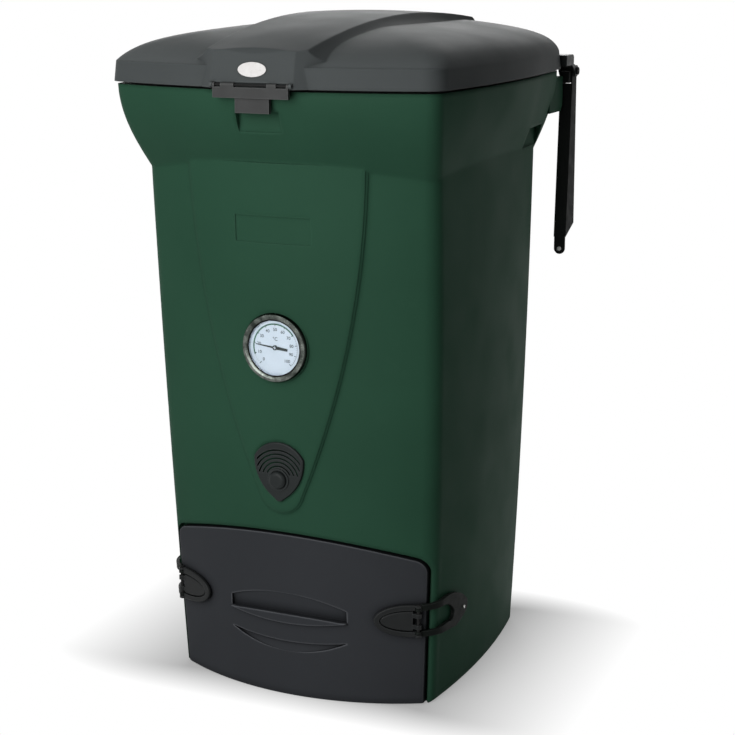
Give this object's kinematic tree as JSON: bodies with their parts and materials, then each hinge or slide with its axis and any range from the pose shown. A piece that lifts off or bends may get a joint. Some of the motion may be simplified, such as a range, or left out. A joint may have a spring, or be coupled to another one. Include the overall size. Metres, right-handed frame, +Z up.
{
  "type": "compost bin with lid",
  "caption": "Insulated garden compost bin on a tapered green body, with a hinged grey lid, an emptying hatch, side latches, a dial thermometer and an air vent.",
  "frame": {"origin": "on the ground, in the middle of the base's width, under the middle of the body", "axes": "+X is the bin's right seen from the front, +Y is its back, +Z is up"},
  "size_m": [0.5938, 0.7206, 1.1012],
  "materials": {
    "badge_white": "bare oval plate",
    "bezel_chrome": "polished rim",
    "clear_glass": "clear",
    "dial_white": "white printed dial",
    "foam": "rigid foam, hidden between the skins",
    "green_body": "moulded polyethylene with a fine grain",
    "hatch_black": "satin moulded plastic",
    "hatch_charcoal": "moulded polyethylene with a fine grain",
    "latch_black": "satin moulded plastic",
    "latch_grey": "satin moulded plastic",
    "lid_grey": "moulded polyethylene with a fine grain",
    "liner_grey": "smooth polyethylene",
    "needle_black": "matt black",
    "rivet_steel": "bright rivet head",
    "seal_rubber": "soft black seal",
    "steel": "satin stainless steel",
    "steel_black": "black painted sheet steel"
  },
  "bodies": {
    "bin": {"outer_shell": "green_body", "inner_liner": "liner_grey", "wall_insulation": "foam", "floor_grate": "liner_grey", "drain_spout": "hatch_black", "thermometer_case": "steel", "thermometer_dial": "dial_white", "thermometer_bezel": "bezel_chrome", "thermometer_glass": "clear_glass", "thermometer_spacer": "dial_white", "thermometer_probe": "steel", "vent_cover": "hatch_black", "vent_duct": "hatch_black", "vent_inner_grille": "hatch_black", "side_catch_right": "latch_black", "hinge_bracket_right": "steel_black", "hinge_screw_low_right": "steel", "hinge_screw_high_right": "steel", "side_catch_left": "latch_black", "hinge_bracket_left": "steel_black", "hinge_screw_low_left": "steel", "hinge_screw_high_left": "steel"},
    "lid": {"lid_outer_shell": "lid_grey", "lid_badge": "badge_white", "lid_latch_pin": "steel_black", "lid_inner_panel": "liner_grey", "lid_insulation": "foam", "lid_seal": "seal_rubber", "hinge_knuckle_right": "latch_black", "hinge_knuckle_left": "latch_black", "hinge_pin_right": "steel_black", "hinge_pin_left": "steel_black"},
    "lid_latch": {"lid_latch": "latch_grey"},
    "hatch": {"hatch_outer_panel": "hatch_charcoal", "hatch_inner_tray": "liner_grey", "hatch_insulation": "foam", "hatch_seal": "seal_rubber", "latch_block_right": "latch_black", "latch_block_left": "latch_black", "latch_pin_right": "steel_black", "latch_pin_left": "steel_black"},
    "lever_right": {"latch_lever_right": "latch_black"},
    "lever_left": {"latch_lever_left": "latch_black"},
    "link_right": {"latch_link_right": "latch_black", "link_rivet_right": "rivet_steel"},
    "link_left": {"latch_link_left": "latch_black", "link_rivet_left": "rivet_steel"},
    "arm_right": {"stay_arm_right": "steel_black", "arm_tip_rivet_right": "rivet_steel"},
    "arm_left": {"stay_arm_left": "steel_black", "arm_tip_rivet_left": "rivet_steel"},
    "vent_knob": {"vent_knob": "hatch_black", "vent_shutter": "hatch_black"},
    "needle": {"thermometer_needle": "needle_black"},
    "drain_cap": {"drain_cap": "hatch_black"}
  },
  "joints": [
    {"name": "lid_hinge", "type": "hinge", "parent": "bin", "child": "lid", "pos_m": [0, 0.323, 0.992], "axis": [-1, 0, 0], "range_deg": [0, 100]},
    {"name": "lid_latch_pivot", "type": "hinge", "parent": "lid", "child": "lid_latch", "pos_m": [0, -0.373, 1.005], "axis": [-1, 0, 0], "range_deg": [0, 95]},
    {"name": "hatch_lift_off", "type": "slide", "parent": "bin", "child": "hatch", "axis": [0, -1, 0], "range_m": [0, 0.12]},
    {"name": "lever_right_pivot", "type": "hinge", "parent": "hatch", "child": "lever_right", "pos_m": [0.21629, -0.23854, 0.154], "axis": [0, 0, 1], "range_deg": [0, 100]},
    {"name": "lever_left_pivot", "type": "hinge", "parent": "hatch", "child": "lever_left", "pos_m": [-0.21629, -0.23854, 0.154], "axis": [0, 0, -1], "range_deg": [0, 100]},
    {"name": "link_right_pivot", "type": "hinge", "parent": "hatch", "child": "link_right", "pos_m": [0.21629, -0.23854, 0.154], "axis": [0, 0, -1], "range_deg": [0, 60]},
    {"name": "link_left_pivot", "type": "hinge", "parent": "hatch", "child": "link_left", "pos_m": [-0.21629, -0.23854, 0.154], "axis": [0, 0, 1], "range_deg": [0, 60]},
    {"name": "arm_right_swing", "type": "hinge", "parent": "bin", "child": "arm_right", "pos_m": [0.2705, 0.323, 0.992], "axis": [1, 0, 0], "range_deg": [0, 75]},
    {"name": "arm_left_swing", "type": "hinge", "parent": "bin", "child": "arm_left", "pos_m": [-0.2705, 0.323, 0.992], "axis": [1, 0, 0], "range_deg": [0, 75]},
    {"name": "vent_turn", "type": "hinge", "parent": "bin", "child": "vent_knob", "pos_m": [0, -0.3, 0.382], "axis": [0, -1, 0], "range_deg": [0, 90]},
    {"name": "needle_turn", "type": "hinge", "parent": "bin", "child": "needle", "pos_m": [0, -0.3, 0.598], "axis": [0, 1, 0], "range_deg": [-51, 218]},
    {"name": "drain_cap_pull", "type": "slide", "parent": "bin", "child": "drain_cap", "axis": [0, 1, 0], "range_m": [0, 0.04]}
  ]
}
